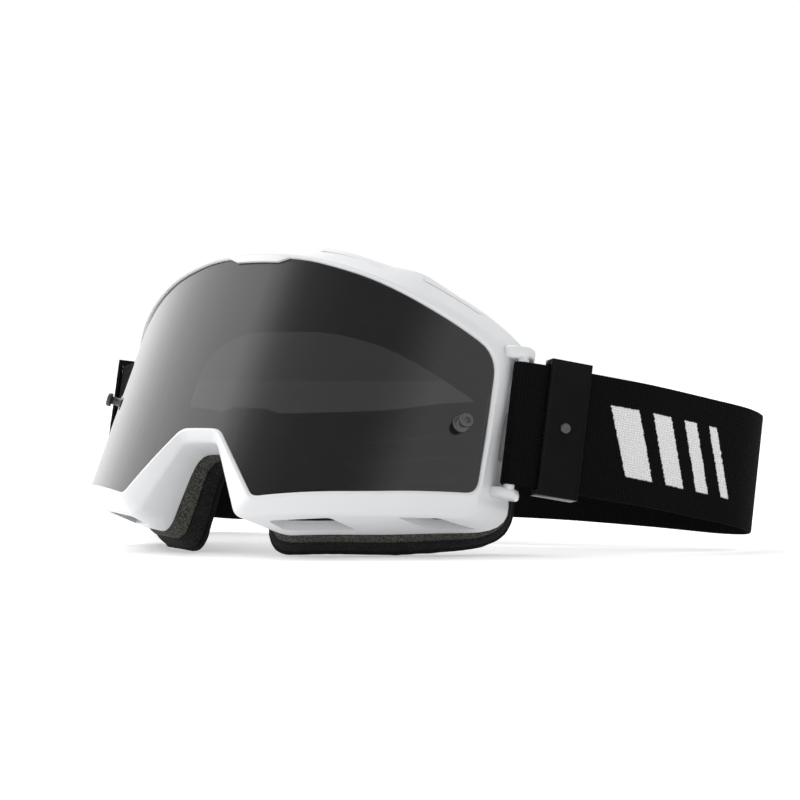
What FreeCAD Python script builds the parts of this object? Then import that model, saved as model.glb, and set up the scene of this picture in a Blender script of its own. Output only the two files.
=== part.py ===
import FreeCAD, Part
import math
import os
from FreeCAD import Vector

# Off-road goggles standing on the lower edge of their face foam. Millimetres.
# Every shape is first drawn as worn: +X is the wearer's left, -Y the way they look, +Z up,
# with the origin on the front of the lens at its centre. The last step leans the whole
# object back into its resting pose and puts the middle of its footprint at the origin.

# ---- driving dimensions ------------------------------------------------------------------
LENS_RADIUS = 98.7          # the lens is a sheet bent to a cylinder
LENS_RAKE = 16.55           # degrees the lens leans back from upright when worn
LENS_THICKNESS = 1.2
LENS_LAP = 1.8              # how far the lens runs into its groove
GROOVE_GAP = 0.1

REST_LEAN = 12.05           # degrees the goggles lean back when they stand on a table

TEMPLE_X = 83.0             # the face curve passes through this point at the temple
TEMPLE_Y = 67.5
BROW_Y = 22.0               # depth of the face curve on the centre line, at the brow
CHEEK_Y = 2.0               # and at the cheeks
BROW_Z = 40.0
CHEEK_Z = -45.0

FLANGE_THICKNESS = 2.2      # plate that the face foam is glued to
WALL = 3.0
LIP_HEIGHT = 0.9            # the frame's lip stands this far in front of the lens
LIP_CREST = 1.6
LIP_WIDTH = 1.2
SEAT_DEPTH = 3.2            # the moulding behind the lens groove ends this far behind the lens
TAB_HEIGHT = 1.2            # latch tab that hooks over the top of the lens
FOAM_LAYERS = {"foam_backing": 6.5, "foam_core": 6.0, "fleece_facing": 1.5}
FOAM_GLUE_LINE = 0.03

RING_PIECES = 12            # faces round each ring-shaped solid
RIBBON_PIECES = 14          # faces along each side of a band

STRAP_WIDTH = 45.0
STRAP_THICKNESS = 1.2
STRAP_TOP = 6.1
STRAP_SAMPLES = 420
LAYER_PITCH = 1.6           # centre to centre of the two strap layers inside a slider
BAR_RADIUS = 2.0            # ear bar that the strap turns round
BAR_CENTRE = (89.6, 57.8)
EAR_REACH = [(84.0, 52.5), (88.5, 53.6), (92.4, 57.4), (91.5, 62.0), (87.5, 68.5), (80.5, 63.5), (82.0, 58.0)]
EAR_ARM_TOP = (7.2, 12.0)   # heights between which the upper ear arm lies
EAR_ARM_BOTTOM = (-43.5, -39.9)
RUN_DIRECTION = (0.574, 0.819)
SLIDER_PLACE = {"right": (102.5, 69.0), "left": (-106.5, 69.0)}
SLIDER_LENGTH = 15.8
SLIDER_WALL = 1.6
SLIDER_BRIDGE = 2.0
SLIDER_GAP = 0.35
TAIL_REACH = 30.0           # how far the folded strap end runs past the slider's middle at rest

POST_PLACE = {"right": (93.5, -9.5), "left": (-93.5, -2.0)}     # arc length and height on the lens
POST_STEM_RADIUS = 1.5
POST_HEAD_RADIUS = 2.6
POST_HEAD_HEIGHT = 1.8
POST_HEAD_START = 4.4       # in front of the lens
POST_FLANGE_RADIUS = 3.2
POST_FLANGE_HEIGHT = 0.9
POST_RECESS = (1.1, 0.8)     # radius and depth of the dimple in the head
POST_HOLE_RADIUS = 1.6
WASHER_RADIUS = 3.6
WASHER_HEIGHT = 1.0
WASHER_GAP = 0.12           # the flat disc meets the curved lens only at its rim

SLIDER_EDGE = 0.8           # rounding of the slider's outer edges
STUD_RADIUS = 1.9
STUD_HEIGHT = 1.0
STUD_EDGE = 0.6
STUD_SHANK_RADIUS = 0.9
STUD_Z = -16.0
TOUCH = 0.03                # room left between pieces that are pressed together

VENT_PAD = 1.8              # thickness of the open-cell foam behind each vent
VENT_PAD_LAP = 2.0          # how far a pad covers the wall round its vent
GRIP_BEADS = [-8.2, -17.2, -26.2]   # lower edges of the silicone lines inside the strap
GRIP_BEAD_WIDTH = 1.6
GRIP_BEAD_HEIGHT = 0.5
GRIP_REACH = 96.0           # the lines run this far to each side, on the stretch behind the head
GRIP_START_Y = 110.0

# Half outlines from the top of the centre line, round the +X side, to the nose on the
# centre line: first coordinate, second coordinate, rounding length at that corner.
# Lens outlines are in arc length and height on the lens, face outlines in X and Z.
LENS_WINDOW = [(0, 37.2, 0), (22, 36.8, 6), (46, 33.8, 6), (60, 30.9, 4), (82, 25.6, 6),
               (99, 21, 9), (103.4, -6, 8), (107, -31.5, 5), (68, -46.6, 8),
               (29.6, -58.6, 2.5), (8.6, -34, 3), (0, -34, 0)]
RIM_CREASE = [(0, 39.2, 0), (22, 38.8, 6), (46, 36.2, 6), (63, 34.2, 4), (86, 30.4, 6),
              (105.5, 25.6, 9), (107.4, -7, 8), (110, -40, 7), (67, -55, 10),
              (23.4, -66.2, 4), (7.2, -38.5, 3), (0, -38.5, 0)]
FLANGE_EDGE = [(0, 42.8, 0), (24, 42.4, 8), (43.5, 37.0, 4), (52.5, 36.2, 4), (74.6, 22.4, 8),
               (86, 9.5, 8), (81, -16, 10), (83.5, -54.5, 9), (56, -62.4, 8),
               (24.5, -67.8, 6), (11, -39.3, 5), (0, -39.3, 0)]
EYE_PORT = [(0, 18.2, 0), (22, 18.2, 6), (42, 14.5, 6), (53, 9.6, 4), (66, 3.0, 6),
            (75.5, -5.5, 7), (77, -20, 6), (73, -41, 9), (55, -47.0, 6),
            (38, -48.5, 7), (21, -28, 9), (0, -20.5, 0)]

# outlines of the cushion's face side, which spreads past the flange and into the eye port
FOAM_OUTER = [(0, 39.5, 0), (23, 38.5, 8), (41, 32.5, 6), (49.5, 30.0, 6), (70, 16.4, 8),
              (80.5, 5.5, 8), (80, -16, 10), (79, -58.5, 11), (56, -67.55, 8),
              (15.5, -73.5, 8), (9, -43.5, 6), (0, -42.5, 0)]
FOAM_INNER = [(0, 12.4, 0), (20, 12.5, 6), (38, 9.0, 6), (50, 3.6, 5), (60, -2.4, 6),
              (69.5, -9, 7), (72, -20, 6), (68.5, -37, 9), (54, -43.5, 6),
              (40, -44.5, 7), (20, -25, 9), (0, -17.5, 0)]

# depth of the crease behind the lens surface, corner by corner
CREASE_DEPTH = [0.5, 0.5, 0.5, 0.5, 0.5, 0.8, 1.0, 3.0, 4.0, 3.5, 1.5, 1.5]

os.makedirs("parts", exist_ok=True)


# ---- the two working surfaces ------------------------------------------------------------
def on_lens(s, t, height=0.0):
    """Point at arc length s and height t on the lens cylinder, height in front of it."""
    angle = s / LENS_RADIUS
    radius = LENS_RADIUS + height
    depth = LENS_RADIUS - radius * math.cos(angle)
    rake = math.radians(LENS_RAKE)
    y = depth * math.cos(rake) + t * math.sin(rake)
    z = -depth * math.sin(rake) + t * math.cos(rake)
    return Vector(radius * math.sin(angle), y, z)


def on_face(x, z, depth=0.0):
    """Point on the curved surface that the face flange follows, depth towards the face."""
    share = min(max((z - CHEEK_Z) / (BROW_Z - CHEEK_Z), 0.0), 1.2)
    middle = CHEEK_Y + (BROW_Y - CHEEK_Y) * share
    return Vector(x, middle + (TEMPLE_Y - middle) * (x / TEMPLE_X) ** 2 + depth, z)


# ---- outlines and rings ------------------------------------------------------------------
def grown(outline, distance):
    """Half outline moved outward by a distance, with mitred corners."""
    result = []
    last = len(outline) - 1
    for i, (a, b, rounding) in enumerate(outline):
        before = outline[i - 1] if i > 0 else (-outline[1][0], outline[1][1], 0)
        after = outline[i + 1] if i < last else (-outline[last - 1][0], outline[last - 1][1], 0)
        into = Vector(a - before[0], b - before[1], 0).normalize()
        away = Vector(after[0] - a, after[1] - b, 0).normalize()
        normal = Vector(-into.y - away.y, into.x + away.x, 0).normalize()
        mitre = distance / max(normal.dot(Vector(-into.y, into.x, 0)), 0.35)
        result.append((a + normal.x * mitre, b + normal.y * mitre, rounding))
    return result


def rounded(outline, extra=None):
    """Evenly matched samples (a, b, extra) round a mirrored outline with rounded corners."""
    extra = extra or [0.0] * len(outline)
    half = [(outline[0][0], outline[0][1], extra[0])]
    for i in range(1, len(outline) - 1):
        corner = Vector(outline[i][0], outline[i][1], extra[i])
        before = Vector(outline[i - 1][0], outline[i - 1][1], extra[i - 1])
        after = Vector(outline[i + 1][0], outline[i + 1][1], extra[i + 1])
        back = min(outline[i][2], 0.45 * (corner - before).Length)
        ahead = min(outline[i][2], 0.45 * (after - corner).Length)
        start = corner + (before - corner).normalize() * back
        end = corner + (after - corner).normalize() * ahead
        previous = Vector(*half[-1])
        for share in (0.12, 0.5, 0.88):
            half.append(tuple(previous + (start - previous) * share))
        for step in range(5):
            u = step / 4.0
            half.append(tuple(start * (1 - u) ** 2 + corner * 2 * u * (1 - u) + end * u * u))
    last = (outline[-1][0], outline[-1][1], extra[-1])
    previous = Vector(*half[-1])
    half.append(tuple(previous + (Vector(*last) - previous) * 0.5))
    mirrored = [(-a, b, c) for a, b, c in reversed(half[1:])]
    return half + [last] + mirrored


def lens_ring(outline, height=0.0, depths=None):
    """Points of a ring on the lens cylinder."""
    return [on_lens(a, b, height - c) for a, b, c in rounded(outline, depths)]


def face_ring(outline, depth):
    """Points of a ring on the face surface."""
    return [on_face(a, b, depth) for a, b, _ in rounded(outline)]


def split_curve(points, pieces, closed):
    """Edges of one smooth curve through the points, cut at evenly counted points."""
    curve = Part.BSplineCurve()
    curve.interpolate(Points=points, PeriodicFlag=closed)
    knots = curve.getKnots()
    cuts = [round(i * (len(knots) - 1) / pieces) for i in range(pieces + 1)]
    return [curve.toShape(knots[a], knots[b]) for a, b in zip(cuts, cuts[1:])]


def ring_solid(rings):
    """Solid whose cross-section joins the rings in order and closes on the first."""
    chains = [split_curve(points, RING_PIECES, True) for points in rings]
    faces = []
    for i, chain in enumerate(chains):
        faces += [Part.makeRuledSurface(a, b) for a, b in zip(chains[i - 1], chain)]
    shell = Part.makeShell(faces)
    shell.sewShape()
    return positive(Part.makeSolid(shell))


def positive(solid):
    """The same solid with its faces outward."""
    if solid.Volume < 0:
        solid.reverse()
    return solid


def slab(corners, low, high):
    """Straight prism on a polygon of (x, y) corners, from low to high in Z."""
    points = [Vector(x, y, low) for x, y in corners]
    return Part.Face(Part.makePolygon(points + points[:1])).extrude(Vector(0, 0, high - low))


def mirrored(shape):
    """Copy of a shape on the wearer's other side."""
    return shape.mirror(Vector(0, 0, 0), Vector(1, 0, 0))


def between(first, second, share):
    """Half outline part of the way from one outline to another."""
    return [tuple(p + (q - p) * share for p, q in zip(one, two)) for one, two in zip(first, second)]


def lens_patch(outline, low, high):
    """Sheet that follows the lens between two heights, cut to an outline straight from the front."""
    corners = [Vector(LENS_RADIUS * math.sin(a / LENS_RADIUS), -4, b) for a, b, _ in rounded(outline)]
    cutter = Part.Face(Part.makePolygon(corners + corners[:1])).extrude(Vector(0, LENS_RADIUS, 0))
    foot = Vector(0, LENS_RADIUS, -90)
    sheet = Part.makeCylinder(LENS_RADIUS + high, 160, foot)
    sheet = sheet.cut(Part.makeCylinder(LENS_RADIUS + low, 160, foot))
    patch = sheet.common(cutter)
    patch.rotate(Vector(0, 0, 0), Vector(1, 0, 0), -LENS_RAKE)
    return patch.Solids[0]


# ---- frame -------------------------------------------------------------------------------
def frame_shell():
    """One moulded body: lip, rim, wall and the plate that carries the foam."""
    return ring_solid([
        lens_ring(LENS_WINDOW, LIP_HEIGHT),
        lens_ring(grown(LENS_WINDOW, LIP_WIDTH), LIP_CREST),
        lens_ring(RIM_CREASE, 0.0, CREASE_DEPTH),
        face_ring(FLANGE_EDGE, 0.0),
        face_ring(FLANGE_EDGE, FLANGE_THICKNESS),
        face_ring(EYE_PORT, FLANGE_THICKNESS),
        face_ring(EYE_PORT, 0.0),
        face_ring(grown(FLANGE_EDGE, -WALL), 0.0),
        lens_ring(grown(LENS_WINDOW, 1.0), -SEAT_DEPTH - 0.6),
        lens_ring(LENS_WINDOW, -SEAT_DEPTH),
    ])


def lens_y(x, z):
    """Depth of the lens surface at a place seen straight from the front."""
    rake = math.radians(LENS_RAKE)
    depth = LENS_RADIUS - math.sqrt(LENS_RADIUS ** 2 - min(abs(x), 88.0) ** 2)
    return depth / math.cos(rake) + z * math.tan(rake)


# Vents through the wall on the +X side: name, X range, Z range, and how far each vent
# stays behind the lens and in front of the foam.
VENTS = {
    "top": ((20.0, 44.0), (26.0, 50.0), 6.5, 4.0),
    "shoulder": ((56.0, 72.0), (16.0, 44.0), 9.0, 5.0),
    "side": ((74.0, 92.0), (-30.0, -12.0), 8.5, 4.0),
    "cheek": ((31.0, 51.0), (-76.0, -52.0), 9.5, 5.0),
    "jaw": ((69.0, 79.0), (-72.0, -48.0), 9.0, 5.0),
}


def vent_cutter(name, lap=0.0):
    """Prism that cuts one vent on the +X side; a lap makes it larger all round."""
    (x_low, x_high), (z_low, z_high), behind_lens, before_foam = VENTS[name]
    if name == "side":
        y_low = lens_y(86.0, -20.0) + behind_lens
        y_high = on_face(82.0, -20.0).y - before_foam
        return slab([(x_low, y_low - lap), (x_high, y_low - lap), (x_high, y_high + lap),
                     (x_low, y_high + lap)], z_low - lap, z_high + lap)
    z_wall = 0.5 * (z_low + z_high)
    left = x_low - lap
    right = x_high + lap
    return slab([(left, lens_y(left, z_wall) + behind_lens - lap),
                 (right, lens_y(right, z_wall) + behind_lens - lap),
                 (right, on_face(right, z_wall).y - before_foam + lap),
                 (left, on_face(left, z_wall).y - before_foam + lap)], z_low, z_high)


def ear():
    """Outrigger on the +X side: two arms from the wall and the bar that the strap turns round."""
    top = slab(EAR_REACH, *EAR_ARM_TOP)
    bottom = slab(EAR_REACH, *EAR_ARM_BOTTOM)
    foot = Vector(BAR_CENTRE[0], BAR_CENTRE[1], EAR_ARM_BOTTOM[0] + 1.5)
    bar = Part.makeCylinder(BAR_RADIUS, EAR_ARM_TOP[1] - EAR_ARM_BOTTOM[0] - 4.0, foot)
    return top.fuse([bottom, bar])


def lens_outline():
    """The lens's own edge, which lies inside the groove all round."""
    return grown(LENS_WINDOW, LENS_LAP)


def frame():
    """The finished frame with ears, lens groove, vents and the latch tab over the lens."""
    body = frame_shell().fuse([ear(), mirrored(ear())])
    tab = [(0, 35.0, 0), (4, 35.0, 1), (9.3, 35.0, 1), (13.9, 37.0, 1), (13.9, 38.4, 0.5),
           (9, 38.6, 1), (0, 38.6, 0)]
    body = body.fuse(lens_patch(tab, GROOVE_GAP + 0.05, TAB_HEIGHT))
    groove = lens_patch(grown(lens_outline(), GROOVE_GAP), -LENS_THICKNESS - GROOVE_GAP, GROOVE_GAP)
    cutters = [groove]
    for name in VENTS:
        cutters += [vent_cutter(name), mirrored(vent_cutter(name))]
    return body.cut(cutters)


# ---- lens and tear-off posts -------------------------------------------------------------
def along_post(side, solid):
    """Turn a solid built on the +Z axis so that it stands on the lens at a post's place."""
    s, t = POST_PLACE[side]
    foot = on_lens(s, t)
    outward = (on_lens(s, t, 1.0) - foot).normalize()
    turn = FreeCAD.Rotation(Vector(0, 0, 1), outward)
    solid.Placement = FreeCAD.Placement(foot, turn)
    return solid


def lens():
    """Bent sheet lens with one hole for each tear-off post."""
    sheet = lens_patch(lens_outline(), -LENS_THICKNESS, 0.0)
    for side in POST_PLACE:
        hole = Part.makeCylinder(POST_HOLE_RADIUS, 12, Vector(0, 0, -6))
        sheet = sheet.cut(along_post(side, hole))
    return sheet.Solids[0]


def post(side):
    """Tear-off post: flange against the lens, stem through it, recessed head."""
    foot = -LENS_THICKNESS - WASHER_HEIGHT - 0.2
    stem = Part.makeCylinder(POST_STEM_RADIUS, POST_HEAD_START - foot, Vector(0, 0, foot))
    flange = Part.makeCylinder(POST_FLANGE_RADIUS, POST_FLANGE_HEIGHT, Vector(0, 0, TOUCH))
    head = Part.makeCylinder(POST_HEAD_RADIUS, POST_HEAD_HEIGHT, Vector(0, 0, POST_HEAD_START))
    radius, depth = POST_RECESS
    recess = Part.makeCylinder(radius, 2 * depth, Vector(0, 0, POST_HEAD_START + POST_HEAD_HEIGHT - depth))
    return along_post(side, stem.fuse([flange, head]).cut(recess).removeSplitter())


def washer(side):
    """Retaining washer pressed on the stem behind the lens."""
    low = -LENS_THICKNESS - WASHER_GAP - WASHER_HEIGHT
    disc = Part.makeCylinder(WASHER_RADIUS, WASHER_HEIGHT, Vector(0, 0, low))
    bore = Part.makeCylinder(POST_STEM_RADIUS + TOUCH, 4, Vector(0, 0, low - 1))
    return along_post(side, disc.cut(bore))


# ---- foam --------------------------------------------------------------------------------
def cushion(start, thickness):
    """One layer of the face cushion, from a distance behind the flange plate."""
    total = sum(FOAM_LAYERS.values())
    rings = []
    for depth, turn in ((start, 1), (start + thickness, -1)):
        share = depth / total
        outer = face_ring(between(FLANGE_EDGE, FOAM_OUTER, share), FLANGE_THICKNESS + FOAM_GLUE_LINE + depth)
        inner = face_ring(between(EYE_PORT, FOAM_INNER, share), FLANGE_THICKNESS + FOAM_GLUE_LINE + depth)
        rings += [inner, outer][::turn]
    return ring_solid(rings)


def vent_pads():
    """Thin foam pads on the inside of the wall, one behind each vent."""
    wall = grown(FLANGE_EDGE, -WALL)
    lining = ring_solid([
        lens_ring(grown(LENS_WINDOW, 0.7), -4.0),
        face_ring(grown(wall, -0.25), -0.3),
        face_ring(grown(wall, -0.25 - VENT_PAD), -0.3),
        lens_ring(grown(LENS_WINDOW, 0.7 - VENT_PAD), -4.0),
    ])
    pads = {}
    for name in VENTS:
        pad = lining.common(vent_cutter(name, VENT_PAD_LAP))
        pads["vent_foam_" + name + "_right"] = pad
        pads["vent_foam_" + name + "_left"] = mirrored(pad)
    return pads


# ---- strap and sliders -------------------------------------------------------------------
def run_point(side, along, outward=0.0):
    """Point in plan, measured along the straight run from the slider's middle and outward."""
    sign = 1 if side == "right" else -1
    x, y = SLIDER_PLACE[side]
    return Vector(x + sign * (RUN_DIRECTION[0] * along + RUN_DIRECTION[1] * outward),
                  y + RUN_DIRECTION[1] * along - RUN_DIRECTION[0] * outward, 0)


def turn_round_bar(side):
    """Strap centre line round the ear bar, from its inner to its outer side."""
    sign = 1 if side == "right" else -1
    radius = BAR_RADIUS + 0.15 + 0.5 * STRAP_THICKNESS
    points = []
    for step in range(5):
        angle = math.radians(180 - 45 * step)
        out = radius * math.cos(angle)
        front = -radius * math.sin(angle)
        points.append(Vector(sign * (BAR_CENTRE[0] + RUN_DIRECTION[0] * front + RUN_DIRECTION[1] * out),
                             BAR_CENTRE[1] + RUN_DIRECTION[1] * front - RUN_DIRECTION[0] * out, 0))
    return points


def side_route(side):
    """From the folded end, forward to the ear bar, round it and back along the outside."""
    tail = [run_point(side, a, -LAYER_PITCH) for a in (TAIL_REACH, 20, 10, 0, -4)]
    tail.append(run_point(side, -8, -LAYER_PITCH - 0.15))
    outer = [run_point(side, a) for a in (-8, -2, 6, 14, 22, 31)]
    return tail + turn_round_bar(side) + outer


# round the back of the head, from the wearer's left to the right, chosen by hand
BACK_ROUTE = [(131.5, 119.5), (138.5, 140.0), (135.5, 153.0), (125.0, 155.0), (98.0, 143.0),
              (60.0, 131.5), (13.0, 130.6), (-34.0, 147.0), (-65.0, 152.0), (-94.0, 155.0),
              (-118.0, 153.5), (-131.0, 141.0), (-132.5, 120.0)]


def centre_line():
    """Points and leftward directions along the whole strap, from the right end to the left."""
    back = [Vector(x, y, 0) for x, y in BACK_ROUTE]
    curve = Part.BSplineCurve()
    curve.interpolate(Points=side_route("right") + back + side_route("left")[::-1])
    first = curve.FirstParameter
    step = (curve.LastParameter - first) / STRAP_SAMPLES
    line = []
    for i in range(STRAP_SAMPLES + 1):
        tangent = curve.tangent(first + i * step)[0]
        line.append((curve.value(first + i * step), Vector(-tangent.y, tangent.x, 0)))
    return line


def ribbon(line, thickness, low, high, shift=0.0):
    """Flat band on edge along a centre line; shift moves it to the line's left."""
    sides = [[point + left * (shift + half) for point, left in line]
             for half in (0.5 * thickness, -0.5 * thickness)]
    edges = split_curve(sides[0], RIBBON_PIECES, False)
    edges.append(Part.makeLine(sides[0][-1], sides[1][-1]))
    edges += split_curve(sides[1][::-1], RIBBON_PIECES, False)
    edges.append(Part.makeLine(sides[1][0], sides[0][0]))
    wire = Part.Wire(edges)
    wire.translate(Vector(0, 0, low))
    return positive(Part.Face(wire).extrude(Vector(0, 0, high - low)))


def strap():
    """The webbing from one folded end round both ear bars and the back to the other end."""
    return ribbon(centre_line(), STRAP_THICKNESS, STRAP_TOP - STRAP_WIDTH, STRAP_TOP)


def grip_beads():
    """Silicone lines printed on the strap's inner face across the back of the head."""
    line = [(point, left) for point, left in centre_line()
            if abs(point.x) < GRIP_REACH and point.y > GRIP_START_Y]
    shift = 0.5 * (STRAP_THICKNESS + GRIP_BEAD_HEIGHT) + TOUCH
    lines = [ribbon(line, GRIP_BEAD_HEIGHT, z, z + GRIP_BEAD_WIDTH, shift) for z in GRIP_BEADS]
    return Part.makeCompound(lines)


def on_run(side, solid):
    """Place a solid built with +X along the run and -Y outward; the left one is mirrored."""
    turn = math.degrees(math.atan2(RUN_DIRECTION[1], RUN_DIRECTION[0]))
    solid.rotate(Vector(0, 0, 0), Vector(0, 0, 1), turn)
    x, y = SLIDER_PLACE[side]
    solid.translate(Vector(abs(x), y, 0))
    return solid if side == "right" else mirrored(solid)


SLIDER_INSIDE = (-0.5 * STRAP_THICKNESS - SLIDER_GAP, LAYER_PITCH + 0.5 * STRAP_THICKNESS + SLIDER_GAP)


def slider(side):
    """Loop round both strap layers with a bridge at each end."""
    half = 0.5 * SLIDER_LENGTH
    y_low, y_high = SLIDER_INSIDE
    z_low = STRAP_TOP - STRAP_WIDTH - 0.5
    z_high = STRAP_TOP + 0.5
    loop = Part.makeBox(SLIDER_LENGTH, y_high - y_low + 2 * SLIDER_WALL, z_high - z_low + 2 * SLIDER_BRIDGE,
                        Vector(-half, y_low - SLIDER_WALL, z_low - SLIDER_BRIDGE))
    loop = loop.makeFillet(SLIDER_EDGE, loop.Edges)
    window = Part.makeBox(SLIDER_LENGTH + 2, y_high - y_low, z_high - z_low, Vector(-half - 1, y_low, z_low))
    hole_foot = Vector(0, y_low - 3, STUD_Z)
    rivet_hole = Part.makeCylinder(STUD_SHANK_RADIUS + TOUCH, 4, hole_foot, Vector(0, 1, 0))
    return on_run(side, loop.cut([window, rivet_hole]))


def stud(side):
    """Small round-headed rivet on the slider's outer plate."""
    inner_end = SLIDER_INSIDE[0]
    head_low = inner_end - SLIDER_WALL - TOUCH - STUD_HEIGHT
    shank_length = inner_end - head_low - 0.5 * STUD_HEIGHT
    shank_foot = Vector(0, inner_end - shank_length, STUD_Z)
    shank = Part.makeCylinder(STUD_SHANK_RADIUS, shank_length, shank_foot, Vector(0, 1, 0))
    head = Part.makeCylinder(STUD_RADIUS, STUD_HEIGHT, Vector(0, head_low, STUD_Z), Vector(0, 1, 0))
    outer_rim = min(head.Edges, key=lambda edge: edge.CenterOfMass.y)
    head = head.makeFillet(STUD_EDGE, [outer_rim])
    return on_run(side, shank.fuse(head).removeSplitter())


# ---- the parts in their resting pose -----------------------------------------------------
def all_parts():
    """Every part in the worn pose, by name."""
    parts = {"frame": frame(), "lens": lens()}
    for side in ("right", "left"):
        parts["tear_off_post_" + side] = post(side)
        parts["post_washer_" + side] = washer(side)
        parts["slider_" + side] = slider(side)
        parts["slider_stud_" + side] = stud(side)
    depth = 0.0
    for name, thickness in FOAM_LAYERS.items():
        parts[name] = cushion(depth, thickness)
        depth += thickness + FOAM_GLUE_LINE
    parts.update(vent_pads())
    parts["strap"] = strap()
    parts["grip_beads"] = grip_beads()
    return parts


def resting(parts):
    """Lean every part back, then centre the footprint and put its lowest point at zero."""
    corners = []
    for shape in parts.values():
        shape.rotate(Vector(0, 0, 0), Vector(1, 0, 0), -REST_LEAN)
        corners += shape.tessellate(0.05)[0]
    low = [min(point[k] for point in corners) for k in range(3)]
    high = [max(point[k] for point in corners) for k in range(3)]
    shift = Vector(-0.5 * (low[0] + high[0]), -0.5 * (low[1] + high[1]), -low[2])
    for shape in parts.values():
        shape.translate(shift)
    print("shift to rest", [round(value, 3) for value in shift])
    return parts


for part_name, part_shape in resting(all_parts()).items():
    solids = len(part_shape.Solids)
    print(part_name, "solids", solids, "valid", part_shape.isValid(), "volume", round(part_shape.Volume, 1))
    part_shape.exportStep("parts/" + part_name + ".step")
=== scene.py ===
import math

import bmesh
import bpy
from mathutils import Matrix, Vector, noise


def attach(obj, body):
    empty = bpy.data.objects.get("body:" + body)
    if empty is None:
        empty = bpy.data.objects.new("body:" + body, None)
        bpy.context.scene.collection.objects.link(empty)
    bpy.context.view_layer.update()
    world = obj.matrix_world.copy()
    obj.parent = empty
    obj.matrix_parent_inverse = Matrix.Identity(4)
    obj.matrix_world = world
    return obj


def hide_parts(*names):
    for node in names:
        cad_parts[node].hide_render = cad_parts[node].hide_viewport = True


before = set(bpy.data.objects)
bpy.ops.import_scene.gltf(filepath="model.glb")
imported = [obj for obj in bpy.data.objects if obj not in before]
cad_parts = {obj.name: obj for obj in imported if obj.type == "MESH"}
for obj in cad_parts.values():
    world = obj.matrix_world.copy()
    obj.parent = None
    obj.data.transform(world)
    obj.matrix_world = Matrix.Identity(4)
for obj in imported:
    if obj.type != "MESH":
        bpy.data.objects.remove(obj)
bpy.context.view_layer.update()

# ==== frame moulding ==========================================================================
# The frame is one injection moulding in white semi-gloss plastic. A raised lip holds the lens,
# a wall runs back from it to a thin plate, and the face foam is glued to that plate.
# Lengths in this file are millimetres as worn; resting() leans them back and gives metres.
LENS_RADIUS = 98.7
LENS_RAKE = math.radians(16.55)
REST_LEAN = math.radians(12.05)
REST_SHIFT = Vector((-2.718, -64.112, 75.732))
TEMPLE_X = 83.0
TEMPLE_Y = 67.5
BROW_Y = 22.0
CHEEK_Y = 2.0
BROW_Z = 40.0
CHEEK_Z = -45.0
PLATE = 2.2
WALL = 3.0
SEAT_DEPTH = 3.2
LIP_HEIGHT = 0.9
LIP_CREST = 1.6
LIP_WIDTH = 1.2
STRAIGHT_STEPS = 6
CORNER_STEPS = 6
CORNER_SHARE = 0.45         # a rounding takes at most this share of each side of its corner
MITRE_LIMIT = 0.35

# Half outlines from the top of the centre line round the +X side to the nose: two
# coordinates and a rounding length at each corner. The first two are in arc length and
# height on the lens, the others in X and Z on the face surface.
LENS_WINDOW = [(0, 37.2, 0), (22, 36.8, 6), (46, 33.8, 6), (60, 30.9, 4), (82, 25.6, 6),
               (99, 21, 9), (103.4, -6, 8), (107, -31.5, 5), (68, -46.6, 8),
               (29.6, -58.6, 2.5), (8.6, -34, 3), (0, -34, 0)]
RIM_CREASE = [(0, 39.2, 0), (22, 38.8, 6), (46, 36.2, 6), (63, 34.2, 4), (86, 30.4, 6),
              (105.5, 25.6, 9), (107.4, -7, 8), (110, -40, 7), (67, -55, 10),
              (23.4, -66.2, 4), (7.2, -38.5, 3), (0, -38.5, 0)]
PLATE_EDGE = [(0, 42.8, 0), (24, 42.4, 8), (43.5, 37.0, 4), (52.5, 36.2, 4), (74.6, 22.4, 8),
              (86, 9.5, 8), (81, -16, 10), (83.5, -54.5, 9), (56, -62.4, 8),
              (24.5, -67.8, 6), (11, -39.3, 5), (0, -39.3, 0)]
EYE_PORT = [(0, 18.2, 0), (22, 18.2, 6), (42, 14.5, 6), (53, 9.6, 4), (66, 3.0, 6),
            (75.5, -5.5, 7), (77, -20, 6), (73, -41, 9), (55, -47.0, 6),
            (38, -48.5, 7), (21, -28, 9), (0, -20.5, 0)]
CREASE_DEPTH = [0.5, 0.5, 0.5, 0.5, 0.5, 0.8, 1.0, 3.0, 4.0, 3.5, 1.5, 1.5]


def resting(point):
    """Place in the resting pose, in metres, of a point given as worn in millimetres."""
    turned = Matrix.Rotation(-REST_LEAN, 3, "X") @ Vector(point)
    return (turned + REST_SHIFT) / 1000.0


def on_lens(s, t, height=0.0):
    """Point at arc length s and height t on the bent lens, height in front of it."""
    angle = s / LENS_RADIUS
    radius = LENS_RADIUS + height
    depth = LENS_RADIUS - radius * math.cos(angle)
    y = depth * math.cos(LENS_RAKE) + t * math.sin(LENS_RAKE)
    z = -depth * math.sin(LENS_RAKE) + t * math.cos(LENS_RAKE)
    return Vector((radius * math.sin(angle), y, z))


def on_face(x, z, depth=0.0):
    """Point on the curved surface that the foam plate follows, depth towards the face."""
    share = min(max((z - CHEEK_Z) / (BROW_Z - CHEEK_Z), 0.0), 1.2)
    middle = CHEEK_Y + (BROW_Y - CHEEK_Y) * share
    return Vector((x, middle + (TEMPLE_Y - middle) * (x / TEMPLE_X) ** 2 + depth, z))


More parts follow.
